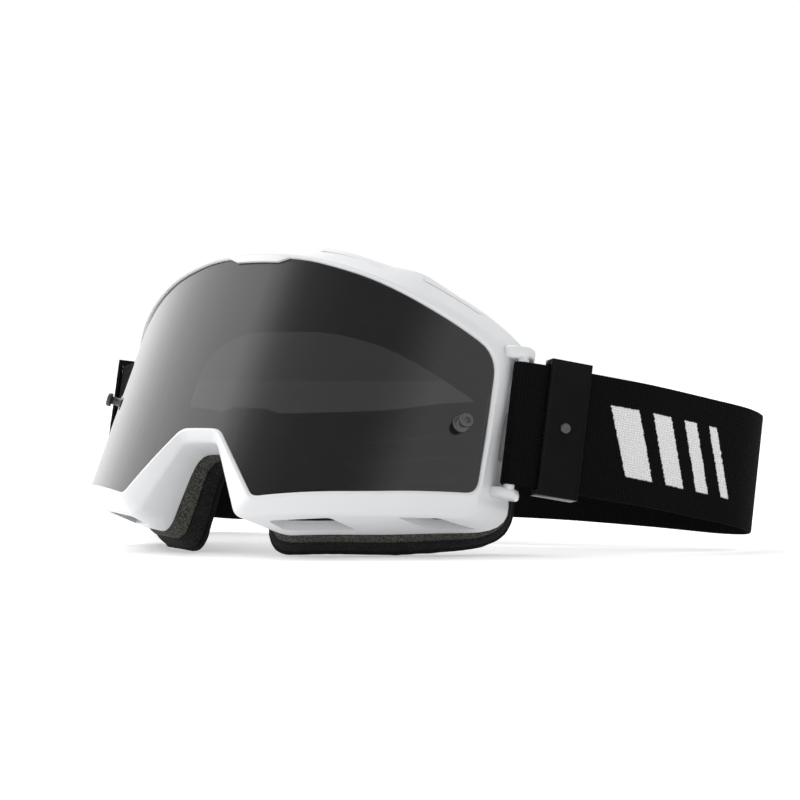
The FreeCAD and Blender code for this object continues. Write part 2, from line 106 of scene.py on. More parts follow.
def grown(outline, distance):
    """Half outline moved outward by a distance, with mitred corners."""
    result = []
    last = len(outline) - 1
    for i, (a, b, rounding) in enumerate(outline):
        before = outline[i - 1] if i > 0 else (-outline[1][0], outline[1][1])
        after = outline[i + 1] if i < last else (-outline[last - 1][0], outline[last - 1][1])
        into = Vector((a - before[0], b - before[1])).normalized()
        away = Vector((after[0] - a, after[1] - b)).normalized()
        normal = Vector((-into.y - away.y, into.x + away.x)).normalized()
        mitre = distance / max(normal.dot(Vector((-into.y, into.x))), MITRE_LIMIT)
        result.append((a + normal.x * mitre, b + normal.y * mitre, rounding))
    return result


def between(first, second, share):
    """Half outline part of the way from one outline to another."""
    return [tuple(p + (q - p) * share for p, q in zip(one, two)) for one, two in zip(first, second)]


def rounded(outline, extra=None):
    """Points (a, b, extra) all round a mirrored outline with its corners rounded."""
    extra = extra or [0.0] * len(outline)
    corners = [Vector((a, b, c)) for (a, b, _), c in zip(outline, extra)]
    half = [corners[0]]
    for i in range(1, len(corners) - 1):
        corner = corners[i]
        into = corners[i - 1] - corner
        away = corners[i + 1] - corner
        start = corner + into.normalized() * min(outline[i][2], CORNER_SHARE * into.length)
        end = corner + away.normalized() * min(outline[i][2], CORNER_SHARE * away.length)
        previous = half[-1]
        half += [previous.lerp(start, k / STRAIGHT_STEPS) for k in range(1, STRAIGHT_STEPS)]
        for k in range(CORNER_STEPS + 1):
            u = k / CORNER_STEPS
            half.append(start * (1 - u) ** 2 + corner * 2 * u * (1 - u) + end * u * u)
    half += [half[-1].lerp(corners[-1], 0.5)]
    other = [Vector((-p.x, p.y, p.z)) for p in reversed(half[1:])]
    return half + [corners[-1]] + other


def lens_ring(outline, height=0.0, depths=None):
    """Ring of points that lies on the lens surface."""
    return [on_lens(p.x, p.y, height - p.z) for p in rounded(outline, depths)]


def face_ring(outline, depth):
    """Ring of points that lies on the face surface."""
    return [on_face(p.x, p.y, depth) for p in rounded(outline)]


def skin(rings, weights, closed=True, cloth=None):
    """Bmesh drawn from ring to ring by extruding; weights are the rings' bevel weights.

    A closed skin ends on its first ring, an open one is filled at both ends. Where cloth
    is given, it holds (along, height, offset) in millimetres for each point of each ring.
    """
    bm = bmesh.new()
    bevel = bm.edges.layers.float.new("bevel_weight_edge")
    lie = bm.verts.layers.float_vector.new("cloth") if cloth else None
    order = list(range(len(rings))) + ([0] if closed else [])
    verts = [bm.verts.new(resting(p)) for p in rings[0]]
    place = {vert: i for i, vert in enumerate(verts)}
    edges = [bm.edges.new(pair) for pair in zip(verts, verts[1:] + verts[:1])]
    first_edges = edges
    for edge in edges:
        edge[bevel] = weights[0]
    if cloth:
        for vert, i in place.items():
            vert[lie] = cloth[0][i]
    for number in order[1:]:
        made = bmesh.ops.extrude_edge_only(bm, edges=edges)["geom"]
        fresh = {}
        for vert in (item for item in made if isinstance(item, bmesh.types.BMVert)):
            for edge in vert.link_edges:
                source = edge.other_vert(vert)
                if source in place:
                    fresh[vert] = place[source]
        for vert, i in fresh.items():
            vert.co = resting(rings[number][i])
            if cloth:
                vert[lie] = cloth[number][i]
        edges = [item for item in made if isinstance(item, bmesh.types.BMEdge)]
        for edge in edges:
            edge[bevel] = weights[number]
        place = fresh
    if closed:
        bmesh.ops.remove_doubles(bm, verts=bm.verts, dist=1e-7)
    else:
        bmesh.ops.edgeloop_fill(bm, edges=first_edges)
        bmesh.ops.edgeloop_fill(bm, edges=edges)
    bmesh.ops.recalc_face_normals(bm, faces=bm.faces)
    return bm


def piece(name, bm, modifiers=(), sharp=35.0):
    """Object from a bmesh with its modifiers applied, smooth but for edges over sharp degrees."""
    mesh = bpy.data.meshes.new(name)
    bm.to_mesh(mesh)
    bm.free()
    made = bpy.data.objects.new(name, mesh)
    bpy.context.scene.collection.objects.link(made)
    for kind, settings in modifiers:
        modifier = made.modifiers.new(kind, kind)
        for key, value in settings.items():
            setattr(modifier, key, value)
    if modifiers:
        graph = bpy.context.evaluated_depsgraph_get()
        made.data = bpy.data.meshes.new_from_object(made.evaluated_get(graph))
        made.modifiers.clear()
    made.data.shade_smooth()
    made.data.set_sharp_from_angle(angle=math.radians(sharp))
    return made


def rounding(width, segments=3):
    """Bevel modifier that rounds each weighted edge by its weight times the width in mm."""
    return ("BEVEL", {"limit_method": "WEIGHT", "width": width / 1000.0, "segments": segments,
                      "profile": 0.5, "use_clamp_overlap": True, "loop_slide": True})


def softened(width, segments=2, angle=30.0):
    """Bevel modifier that rounds every edge sharper than an angle."""
    return ("BEVEL", {"limit_method": "ANGLE", "angle_limit": math.radians(angle),
                      "width": width / 1000.0, "segments": segments, "profile": 0.5})


def own(made, body, slot, paint, *nodes):
    """Put a finished piece on its body, with its material and what it replaces. The slot is not used."""
    made.data.materials.clear()
    made.data.materials.append(paint.material)
    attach(made, body)
    if nodes:
        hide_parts(*nodes)
    return made


class Amount:
    """A number that varies over a surface. Sums and products of it add Math nodes."""

    def __init__(self, paint, socket):
        self.paint = paint
        self.socket = socket

    def math(self, operation, *values):
        return self.paint.node("ShaderNodeMath", {"operation": operation}, values)

    def __add__(self, other):
        return self.math("ADD", self, other)

    def __rsub__(self, other):
        return self.math("SUBTRACT", other, self)

    def __mul__(self, other):
        return self.math("MULTIPLY", self, other)

    __radd__ = __add__
    __rmul__ = __mul__

    def above(self, edge, softness=0.0):
        """One where the value is over the edge and zero below, with a soft step between."""
        low = edge - 0.5 * softness
        high = edge + 0.5 * softness + 1e-6
        settings = {"interpolation_type": "SMOOTHSTEP"}
        return self.paint.node("ShaderNodeMapRange", settings,
                               {"Value": self, "From Min": low, "From Max": high})


class Paint:
    """A material with one Principled surface, and the method that adds every other node."""

    def __init__(self, name, constants):
        self.material = bpy.data.materials.new(name)
        self.material.use_nodes = True
        self.tree = self.material.node_tree
        self.surface = self.tree.nodes["Principled BSDF"]
        for socket, value in constants.items():
            self.surface.inputs[socket].default_value = value

    def node(self, kind, settings, values, output=0):
        """Add a node, apply its settings, then set or link its sockets."""
        made = self.tree.nodes.new(kind)
        for key, value in settings.items():
            if key == "stops":
                while len(made.color_ramp.elements) < len(value):
                    made.color_ramp.elements.new(0.5)
                for element, (position, color) in zip(made.color_ramp.elements, value):
                    element.position = position
                    element.color = (*color, 1.0)
            else:
                setattr(made, key, value)
        pairs = values.items() if isinstance(values, dict) else enumerate(values)
        for key, value in pairs:
            if isinstance(value, Amount):
                self.tree.links.new(value.socket, made.inputs[key])
            else:
                made.inputs[key].default_value = value
        return Amount(self, made.outputs[output])

    def place(self):
        return self.node("ShaderNodeTexCoord", {}, {}, "Object")

    def grain(self, scale, detail=3.0, vector=None, roughness=0.55):
        """Noise of about one lump per 1 / scale metres, from 0 to 1."""
        return self.node("ShaderNodeTexNoise", {}, {"Vector": vector or self.place(), "Scale": scale,
                                                    "Detail": detail, "Roughness": roughness})

    def cells(self, scale, feature="F1", vector=None):
        """Distance to the nearest of many scattered points."""
        return self.node("ShaderNodeTexVoronoi", {"feature": feature},
                         {"Vector": vector or self.place(), "Scale": scale})

    def mix(self, share, first, second):
        """Colour between two colours."""
        pair = [c if isinstance(c, Amount) else (*c, 1.0) for c in (first, second)]
        return self.node("ShaderNodeMix", {"data_type": "RGBA"}, {0: share, 6: pair[0], 7: pair[1]}, 2)

    def bump(self, height, depth, strength=1.0):
        """Normal from a height of 0 to 1 that stands for a depth in metres."""
        return self.node("ShaderNodeBump", {}, {"Height": height, "Distance": depth, "Strength": strength})

    def feed(self, socket, value):
        self.tree.links.new(value.socket, self.surface.inputs[socket])


# Vents through the wall on the +X side: X range, Z range, then how far each stays behind
# the lens and in front of the foam plate.
VENTS = {
    "top": ((20.0, 44.0), (26.0, 50.0), 7.8, 4.0),
    "shoulder": ((56.0, 72.0), (16.0, 44.0), 10.5, 5.0),
    "side": ((74.0, 92.0), (-30.0, -12.0), 11.0, 4.0),
    "cheek": ((31.0, 51.0), (-76.0, -52.0), 9.5, 5.0),
    "jaw": ((69.0, 79.0), (-72.0, -48.0), 9.0, 5.0),
}
SIDE_VENT_FRONT = (86.0, -20.0)   # X and Z where the side vent is measured off the lens
SIDE_VENT_REAR = (82.0, -20.0)    # and off the plate
VENT_CORNER = 1.6


def lens_y(x, z):
    """Depth of the lens surface at a place seen straight from the front."""
    depth = LENS_RADIUS - math.sqrt(LENS_RADIUS ** 2 - x ** 2)
    return depth / math.cos(LENS_RAKE) + z * math.tan(LENS_RAKE)


def vent_corners(name):
    """Corners in plan of one vent's opening."""
    (x_low, x_high), (z_low, z_high), behind_lens, before_foam = VENTS[name]
    if name == "side":
        front = lens_y(*SIDE_VENT_FRONT) + behind_lens
        rear = on_face(*SIDE_VENT_REAR).y - before_foam
        return [(x_low, front), (x_high, front), (x_high, rear), (x_low, rear)]
    z_wall = 0.5 * (z_low + z_high)
    return [(x_low, lens_y(x_low, z_wall) + behind_lens), (x_high, lens_y(x_high, z_wall) + behind_lens),
            (x_high, on_face(x_high, z_wall).y - before_foam),
            (x_low, on_face(x_low, z_wall).y - before_foam)]


def prism(corners, low, high, side=1):
    """Bmesh of a straight block on plan corners between two heights, on the +X or -X side."""
    bm = bmesh.new()
    face = bm.faces.new([bm.verts.new((side * x, y, low)) for x, y in corners])
    made = bmesh.ops.extrude_face_region(bm, geom=[face])["geom"]
    lifted = [item for item in made if isinstance(item, bmesh.types.BMVert)]
    bmesh.ops.translate(bm, vec=(0, 0, high - low), verts=lifted)
    bmesh.ops.recalc_face_normals(bm, faces=bm.faces)
    return bm


def leaned(bm):
    """Take a bmesh built as worn in millimetres to the resting pose in metres."""
    for vert in bm.verts:
        vert.co = resting(vert.co)
    return bm


def upright_edges(bm, axis=2):
    """Edges that run along one axis."""
    found = []
    for edge in bm.edges:
        run = (edge.verts[1].co - edge.verts[0].co).normalized()
        if abs(run[axis]) > 0.99:
            found.append(edge)
    return found


white = Paint("frame_white", {"IOR": 1.5, "Coat Weight": 0.25, "Coat Roughness": 0.12,
                              "Subsurface Weight": 0.0})
cloud = white.grain(28.0, 2.0)
pebble = white.grain(1500.0, 2.0)
white.feed("Base Color", white.mix(cloud, (0.62, 0.63, 0.645), (0.67, 0.675, 0.68)))
white.feed("Roughness", 0.24 + 0.12 * cloud + 0.08 * pebble)
white.feed("Normal", white.bump(pebble, 0.00002, 0.5))

frame_skin = skin([
    lens_ring(LENS_WINDOW, -SEAT_DEPTH),
    lens_ring(LENS_WINDOW, LIP_HEIGHT),
    lens_ring(grown(LENS_WINDOW, LIP_WIDTH), LIP_CREST),
    lens_ring(RIM_CREASE, 0.0, CREASE_DEPTH),
    face_ring(PLATE_EDGE, 0.0),
    face_ring(PLATE_EDGE, PLATE),
    face_ring(EYE_PORT, PLATE),
    face_ring(EYE_PORT, 0.0),
    face_ring(grown(PLATE_EDGE, -WALL), 0.0),
    lens_ring(grown(LENS_WINDOW, 1.0), -SEAT_DEPTH - 0.6),
], [0.3, 0.35, 0.5, 1.3, 0.8, 0.6, 0.6, 0.6, 1.0, 0.3])
frame_body = piece("frame_moulding", frame_skin, [rounding(1.0)], 40.0)
cutters = []
for vent_name in VENTS:
    for side in (1, -1):
        z_low, z_high = VENTS[vent_name][1]
        block = prism(vent_corners(vent_name), z_low, z_high, side)
        along = 0 if vent_name == "side" else 2
        bmesh.ops.bevel(block, geom=upright_edges(block, along), offset=VENT_CORNER,
                        offset_type="OFFSET", segments=4, profile=0.5, affect="EDGES", material=-1)
        cutters.append(piece("cutter", leaned(block)))
for cutter in cutters:
    cut = frame_body.modifiers.new("vent", "BOOLEAN")
    cut.operation = "DIFFERENCE"
    cut.solver = "MANIFOLD"
    cut.object = cutter
graph = bpy.context.evaluated_depsgraph_get()
frame_body.data = bpy.data.meshes.new_from_object(frame_body.evaluated_get(graph))
frame_body.modifiers.clear()
for cutter in cutters:
    bpy.data.objects.remove(cutter)
frame_body.data.shade_smooth()
frame_body.data.set_sharp_from_angle(angle=math.radians(38.0))
own(frame_body, "goggles", "frame_white", white, "frame")

# ==== strap ears and latch tab ================================================================
# Each ear is moulded with the frame: two flat arms that reach out from the wall, with a round
# bar between them. The tab is a small hook over the top of the lens that keeps it in.
EAR_REACH = [(84.0, 52.5), (88.5, 53.6), (92.4, 57.4), (91.5, 62.0), (87.5, 68.5), (80.5, 63.5), (82.0, 58.0)]
EAR_ARMS = {"upper": (7.2, 12.0), "lower": (-43.5, -39.9)}
EAR_EDGE = 1.5
BAR_SHORT = 4.0             # the bar is this much shorter than the two arms' full height
BAR_RADIUS = 2.0
BAR_CENTRE = (89.6, 57.8)
TAB_EDGE = [(-13.9, 38.4), (-13.9, 37.0), (-9.3, 35.0), (9.3, 35.0), (13.9, 37.0), (13.9, 38.4)]
TAB_HEIGHT = 1.2
STRIP = 2.0
OFF_CORNERS = 0.01          # keeps the cuts between strips off the outline's corners


def bent_plate(points, low, high):
    """Bmesh of a flat plate on (arc length, height) points, bent to the lens in narrow strips."""
    bm = prism(points, low, high)
    reach = max(s for s, _ in points)
    count = int(reach / STRIP)
    for step in range(-count, count + 1):
        everything = bm.verts[:] + bm.edges[:] + bm.faces[:]
        bmesh.ops.bisect_plane(bm, geom=everything, dist=1e-5, plane_co=(step * STRIP + OFF_CORNERS, 0, 0),
                               plane_no=(1, 0, 0))
    for vert in bm.verts:
        vert.co = resting(on_lens(*vert.co))
    return bm


for side, side_name in ((1, "right"), (-1, "left")):
    for arm, (arm_low, arm_high) in EAR_ARMS.items():
        ear = piece("ear_" + arm + "_" + side_name, leaned(prism(EAR_REACH, arm_low, arm_high, side)),
                    [softened(EAR_EDGE, 4)])
        own(ear, "goggles", "frame_white", white)
    bar = bmesh.new()
    bmesh.ops.create_cone(bar, cap_ends=True, segments=32, radius1=BAR_RADIUS, radius2=BAR_RADIUS,
                          depth=EAR_ARMS["upper"][1] - EAR_ARMS["lower"][0] - BAR_SHORT)
    middle = 0.5 * (EAR_ARMS["upper"][1] + EAR_ARMS["lower"][0])
    bmesh.ops.translate(bar, vec=(side * BAR_CENTRE[0], BAR_CENTRE[1], middle), verts=bar.verts)
    own(piece("ear_bar_" + side_name, leaned(bar), [softened(0.4)]), "goggles", "frame_white", white)
own(piece("latch_tab", bent_plate(TAB_EDGE, -0.2, TAB_HEIGHT), [softened(0.35, 2)]),
    "goggles", "frame_white", white)

# ==== lens ====================================================================================
# A sheet of smoke-tinted polycarbonate, bent to a cylinder and snapped into the frame's groove.
# It is polished on both sides, so it mirrors the room most where it curves away from the eye.
LENS_THICKNESS = 1.2
LENS_LAP = 1.8

smoke = Paint("lens_smoke", {"Base Color": (0.012, 0.012, 0.013, 1.0), "IOR": 1.52, "Alpha": 0.87})
smoke.feed("Roughness", 0.03 + 0.04 * smoke.grain(60.0, 4.0).above(0.6, 0.3))
lens_points = [(p.x, p.y) for p in rounded(grown(LENS_WINDOW, LENS_LAP))]
own(piece("lens_sheet", bent_plate(lens_points, -LENS_THICKNESS, 0.0), (), 30.0),
    "goggles", "lens_smoke", smoke, "lens")

# ==== tear-off posts ==========================================================================
# Small snap posts of dark grey plastic stand on the lens to hold tear-off films. Each has a
# flange on the lens, a thin stem and a dished head, and a washer pressed on behind the lens.
POST_PLACE = {"right": (93.5, -9.5), "left": (-93.5, -2.0)}
POST_PROFILE = [(0.0, -2.4), (1.5, -2.4), (1.5, 0.03), (3.0, 0.03), (3.2, 0.2), (3.2, 0.6), (2.9, 0.9),
                (1.9, 0.95), (1.5, 1.4), (1.5, 4.1), (1.8, 4.4), (2.4, 4.4), (2.6, 4.65), (2.6, 5.7),
                (2.3, 6.1), (1.9, 6.2), (1.3, 6.15), (1.1, 5.9), (1.0, 5.45), (0.5, 5.4), (0.0, 5.7)]
WASHER_PROFILE = [(1.53, -1.25), (3.4, -1.25), (3.6, -1.4), (3.6, -2.0), (3.4, -2.2), (1.53, -2.2),
                  (1.53, -1.25)]


def turned(profile, steps=48):
    """Bmesh turned on +Z from a profile of (radius, height) points in millimetres."""
    bm = bmesh.new()
    verts = [bm.verts.new((r, 0, h)) for r, h in profile]
    edges = [bm.edges.new(pair) for pair in zip(verts, verts[1:])]
    bmesh.ops.spin(bm, geom=verts + edges, cent=(0, 0, 0), axis=(0, 0, 1), angle=math.tau,
                   steps=steps, use_merge=True, use_duplicate=False)
    bmesh.ops.remove_doubles(bm, verts=bm.verts, dist=1e-4)
    bmesh.ops.recalc_face_normals(bm, faces=bm.faces)
    return bm


post_grey = Paint("post_grey", {"IOR": 1.5, "Coat Weight": 0.2, "Coat Roughness": 0.08})
post_mottle = post_grey.grain(700.0)
post_grey.feed("Base Color", post_grey.mix(post_mottle, (0.028, 0.029, 0.031), (0.06, 0.061, 0.063)))
post_grey.feed("Roughness", 0.22 + 0.15 * post_mottle)
for side_name, (s, t) in POST_PLACE.items():
    foot = on_lens(s, t)
    outward = (on_lens(s, t, 1.0) - foot).normalized()
    stand = Matrix.Translation(foot) @ outward.to_track_quat("Z", "Y").to_matrix().to_4x4()
    for label, profile in (("tear_off_post_", POST_PROFILE), ("post_washer_", WASHER_PROFILE)):
        bm = turned(profile)
        bmesh.ops.transform(bm, matrix=stand, verts=bm.verts)
        own(piece(label + "snap_" + side_name, leaned(bm), (), 50.0), "goggles", "post_grey",
            post_grey, label + side_name)

# ==== face foam ===============================================================================
# Three layers of open-cell foam are laminated and cut to one shape: a coarse grey layer glued
# to the frame, a dense black layer, and a brushed fleece that touches the skin.
FOAM_OUTER = [(0, 39.5, 0), (23, 38.5, 8), (41, 32.5, 6), (49.5, 30.0, 6), (70, 16.4, 8),
              (80.5, 5.5, 8), (80, -16, 10), (79, -58.5, 11), (56, -67.55, 8),
              (15.5, -73.5, 8), (9, -43.5, 6), (0, -42.5, 0)]
FOAM_INNER = [(0, 12.4, 0), (20, 12.5, 6), (38, 9.0, 6), (50, 3.6, 5), (60, -2.4, 6),
              (69.5, -9, 7), (72, -20, 6), (68.5, -37, 9), (54, -43.5, 6),
              (40, -44.5, 7), (20, -25, 9), (0, -17.5, 0)]
FOAM_TOTAL = 14.0
FOAM_LUMP = 3.0             # size of the lumps in the cushion's surface
FOAM_LAYERS = {   # start behind the plate, thickness, swell of the sides, unevenness
    "foam_backing": (0.02, 6.5, 0.35, 0.10),
    "foam_core": (6.54, 6.0, 0.45, 0.12),
    "fleece_facing": (12.56, 1.5, 0.5, 0.16),
}
SIDE_SHARES = (0.0, 0.08, 0.3, 0.5, 0.7, 0.92, 1.0)


def foam_skin(start, thickness, swell):
    """Ring-shaped layer whose sides are full in the middle and drawn in at the glue lines."""
    plate = grown(PLATE_EDGE, -0.6)
    port = grown(EYE_PORT, -0.4)
    sides = ([], [])
    for share in SIDE_SHARES:
        depth = start + thickness * share
        stand = swell * (math.sin(math.pi * share) ** 0.5 * 1.4 - 0.9)
        outer = grown(between(plate, FOAM_OUTER, depth / FOAM_TOTAL), stand)
        inner = grown(between(port, FOAM_INNER, depth / FOAM_TOTAL), -stand)
        sides[0].append(face_ring(outer, PLATE + depth))
        sides[1].append(face_ring(inner, PLATE + depth))
    back = [[p.lerp(q, k / 6) for p, q in zip(sides[0][-1], sides[1][-1])] for k in range(1, 6)]
    front = [[p.lerp(q, k / 4) for p, q in zip(sides[1][0], sides[0][0])] for k in range(1, 4)]
    rings = sides[0] + back + sides[1][::-1] + front
    return skin(rings, [0.0] * len(rings))


def uneven(made, depth, lump):
    """Move each point along its normal by seeded noise, for the loose surface of foam."""
    moved = []
    for vert in made.data.vertices:
        push = noise.noise(vert.co * 1000.0 / lump) + 0.5 * noise.noise(vert.co * 2500.0 / lump)
        moved.extend(vert.co + vert.normal * (push * depth / 1000.0))
    made.data.vertices.foreach_set("co", moved)
    made.data.update()
    return made


def foam_paint(name, dark, light, pore, speck):
    """Open-cell foam: dark pores in a net of lighter struts, with a few pale specks."""
    foam = Paint(name, {"Roughness": 0.95, "Specular IOR Level": 0.15})
    pores = foam.cells(1000.0 / pore)
    fine = foam.grain(1400.0 / pore, 4.0, roughness=0.7)
    net = pores.above(0.45, 0.5)
    pale = foam.mix(fine.above(0.62, 0.12) * speck, light, tuple(2.2 * c for c in light))
    foam.feed("Base Color", foam.mix(net * fine, dark, pale))
    foam.feed("Normal", foam.bump(pores + 0.6 * fine, 0.0005, 0.9))
    return foam


foam_paints = {
    "foam_backing": foam_paint("foam_grey", (0.022, 0.023, 0.020), (0.135, 0.135, 0.118), 0.75, 0.8),
    "foam_core": foam_paint("foam_black", (0.006, 0.006, 0.006), (0.030, 0.030, 0.030), 0.6, 0.3),
    "fleece_facing": foam_paint("fleece_black", (0.005, 0.005, 0.005), (0.022, 0.022, 0.023), 0.35, 0.2),
}
foam_slots = {"foam_backing": "foam_grey", "foam_core": "foam_black", "fleece_facing": "fleece_black"}
for layer, (start, thickness, swell, depth) in FOAM_LAYERS.items():
    smooth = ("SUBSURF", {"levels": 1, "render_levels": 1})
    pad = piece(layer + "_layer", foam_skin(start, thickness, swell), [smooth], 60.0)
    uneven(pad, depth, FOAM_LUMP)
    own(pad, "goggles", foam_slots[layer], foam_paints[layer], layer)

# ==== vent foam ===============================================================================
# Behind every vent a thin pad of coarse open-cell foam keeps the dust out. The pads are cut
# from sheet and glued to the inside of the wall.
VENT_PORE = 1.1
VENT_UNEVEN = 0.12
VENT_LUMP = 1.5

vent_paint = foam_paint("vent_foam", (0.004, 0.004, 0.0045), (0.026, 0.026, 0.027), VENT_PORE, 0.4)
for vent_name in VENTS:
    for side_name in ("right", "left"):
        node = "vent_foam_" + vent_name + "_" + side_name
        bm = bmesh.new()
        bm.from_mesh(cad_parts[node].data)
        bmesh.ops.remove_doubles(bm, verts=bm.verts, dist=1e-6)
        remesh = ("REMESH", {"mode": "VOXEL", "voxel_size": 0.0006})
        relax = ("SMOOTH", {"factor": 0.5, "iterations": 3})
        pad = piece("vent_pad_" + vent_name + "_" + side_name, bm, [remesh, relax], 80.0)
        uneven(pad, VENT_UNEVEN, VENT_LUMP)
        own(pad, "goggles", "vent_foam", vent_paint, node)

# ==== strap ===================================================================================
# One length of black elastic webbing, 45 mm wide, folded round both ear bars with its ends
# held under the sliders. Plain white bars are woven in, and silicone lines grip the helmet.
STRAP_WIDTH = 45.0
STRAP_THICKNESS = 1.2
STRAP_TOP = 6.1
LAYER_PITCH = 1.6
TAIL_REACH = 30.0           # how far the folded end runs past the slider's middle at rest
BAR_ROOM = 0.15             # between the ear bar and the webbing round it
RUN_DIRECTION = Vector((0.574, 0.819, 0.0))
RUN_OUTWARD = Vector((0.819, -0.574, 0.0))
SLIDER_PLACE = {"right": Vector((102.5, 69.0, 0.0)), "left": Vector((106.5, 69.0, 0.0))}
BACK_ROUTE = [(131.5, 119.5), (138.5, 140.0), (135.5, 153.0), (125.0, 155.0), (98.0, 143.0),
              (60.0, 131.5), (13.0, 130.6), (-34.0, 147.0), (-65.0, 152.0), (-94.0, 155.0),
              (-118.0, 153.5), (-131.0, 141.0), (-132.5, 120.0)]
ROUTE_STEP = 2.5
BARS = [(90.0, 101.0), (107.0, 115.0), (121.0, 126.5), (132.5, 136.0)]   # from each folded end
BAR_HEIGHTS = (-29.0, -4.0)


def side_route(side_name):
    """Plan points from the folded end to the ear bar, round it and back along the outside."""
    middle = SLIDER_PLACE[side_name]
    points = [middle + RUN_DIRECTION * a - RUN_OUTWARD * LAYER_PITCH for a in (TAIL_REACH, 20, 10, 0, -4)]
    points.append(middle - RUN_DIRECTION * 8 - RUN_OUTWARD * (LAYER_PITCH + BAR_ROOM))
    radius = BAR_RADIUS + BAR_ROOM + 0.5 * STRAP_THICKNESS
    for step in range(7):
        angle = math.radians(180 - 30 * step)
        turn = RUN_OUTWARD * math.cos(angle) - RUN_DIRECTION * math.sin(angle)
        points.append(Vector((*BAR_CENTRE, 0.0)) + turn * radius)
    points += [middle + RUN_DIRECTION * a for a in (-8, -2, 6, 14, 22, 31)]
    return points if side_name == "right" else [Vector((-p.x, p.y, 0)) for p in points]


def smooth_route(points):
    """Evenly spaced points and directions on a smooth curve through the given points."""
    ends = [2 * points[0] - points[1]] + points + [2 * points[-1] - points[-2]]
    line = []
    for p0, p1, p2, p3 in zip(ends, ends[1:], ends[2:], ends[3:]):
        d1, d2, d3 = ((q - p).length ** 0.5 for p, q in ((p0, p1), (p1, p2), (p2, p3)))
        first = (p1 - p0) / d1 - (p2 - p0) / (d1 + d2) + (p2 - p1) / d2
        second = (p2 - p1) / d2 - (p3 - p1) / (d2 + d3) + (p3 - p2) / d3
        count = max(2, math.ceil((p2 - p1).length / ROUTE_STEP))
        for k in range(count):
            u = k / count
            line.append(p1 * (2 * u ** 3 - 3 * u ** 2 + 1) + p2 * (3 * u ** 2 - 2 * u ** 3)
                        + first * d2 * (u ** 3 - 2 * u ** 2 + u) + second * d2 * (u ** 3 - u ** 2))
    line.append(points[-1])
    return line


def band(line, section, start=0.0):
    """Bmesh of a band along a plan line from a section of (offset to the left, height) points."""
    rings = []
    cloth = []
    along = start
    for i, point in enumerate(line):
        ahead = line[min(i + 1, len(line) - 1)] - line[max(i - 1, 0)]
        left = Vector((-ahead.y, ahead.x, 0.0)).normalized()
        if i:
            along += (point - line[i - 1]).length
        rings.append([point + left * offset + Vector((0, 0, height)) for offset, height in section])
        cloth.append([(along, height, offset) for offset, height in section])
    return skin(rings, [0.0] * len(rings), False, cloth)


def band_section(thickness, low, high, edge, steps):
    """Closed section of flat webbing with rounded selvedges."""
    half = 0.5 * thickness
    rise = [low + edge + (high - low - 2 * edge) * k / steps for k in range(steps + 1)]
    up = [(half, z) for z in rise]
    down = [(-half, z) for z in reversed(rise)]
    top = [(half * 0.7, high - 0.3 * edge), (0.0, high), (-half * 0.7, high - 0.3 * edge)]
    foot = [(-half * 0.7, low + 0.3 * edge), (0.0, low), (half * 0.7, low + 0.3 * edge)]
    return up + top + down + foot


back = [Vector((x, y, 0)) for x, y in BACK_ROUTE]
route = smooth_route(side_route("right") + back + side_route("left")[::-1])
strap_length = sum((q - p).length for p, q in zip(route, route[1:]))

webbing = Paint("webbing_black", {"Specular IOR Level": 0.06})
lie = webbing.node("ShaderNodeAttribute", {"attribute_name": "cloth"}, {}, "Vector")
lie_parts = webbing.tree.nodes.new("ShaderNodeSeparateXYZ")
webbing.tree.links.new(lie.socket, lie_parts.inputs[0])
along = Amount(webbing, lie_parts.outputs[0])
height = Amount(webbing, lie_parts.outputs[1])
RIB = 1.15
ribs = (along * (math.tau / RIB)).math("SINE", along * (math.tau / RIB)) * 0.5 + 0.5
rows = height.math("SINE", height * (math.tau / 0.9)) * 0.5 + 0.5
fuzz = webbing.grain(2600.0, 2.0)
weave = ribs * rows
jagged = webbing.grain(900.0, 1.0) * 1.2
nearest_end = along.math("MINIMUM", along, strap_length - along)
slant = nearest_end + height * 0.35 + jagged
mark = 0.0
for bar_low, bar_high in BARS:
    mark = slant.above(bar_low, 0.5) * (1.0 - slant.above(bar_high, 0.5)) + mark
tall = height + jagged * 0.5
mark = mark * tall.above(BAR_HEIGHTS[0], 0.5) * (1.0 - tall.above(BAR_HEIGHTS[1], 0.5))
black_yarn = webbing.mix(weave, (0.0018, 0.0018, 0.002), (0.0065, 0.0065, 0.007))
white_yarn = webbing.mix(weave, (0.62, 0.62, 0.63), (0.86, 0.86, 0.86))
webbing.feed("Base Color", webbing.mix(mark, black_yarn, white_yarn))
webbing.feed("Roughness", 0.78 + 0.15 * fuzz)
webbing.feed("Normal", webbing.bump(weave + 0.35 * fuzz, 0.00025, 0.8))

section = band_section(STRAP_THICKNESS, STRAP_TOP - STRAP_WIDTH, STRAP_TOP, 0.9, 14)
own(piece("strap_webbing", band(route, section), (), 60.0), "goggles", "webbing_black", webbing, "strap")

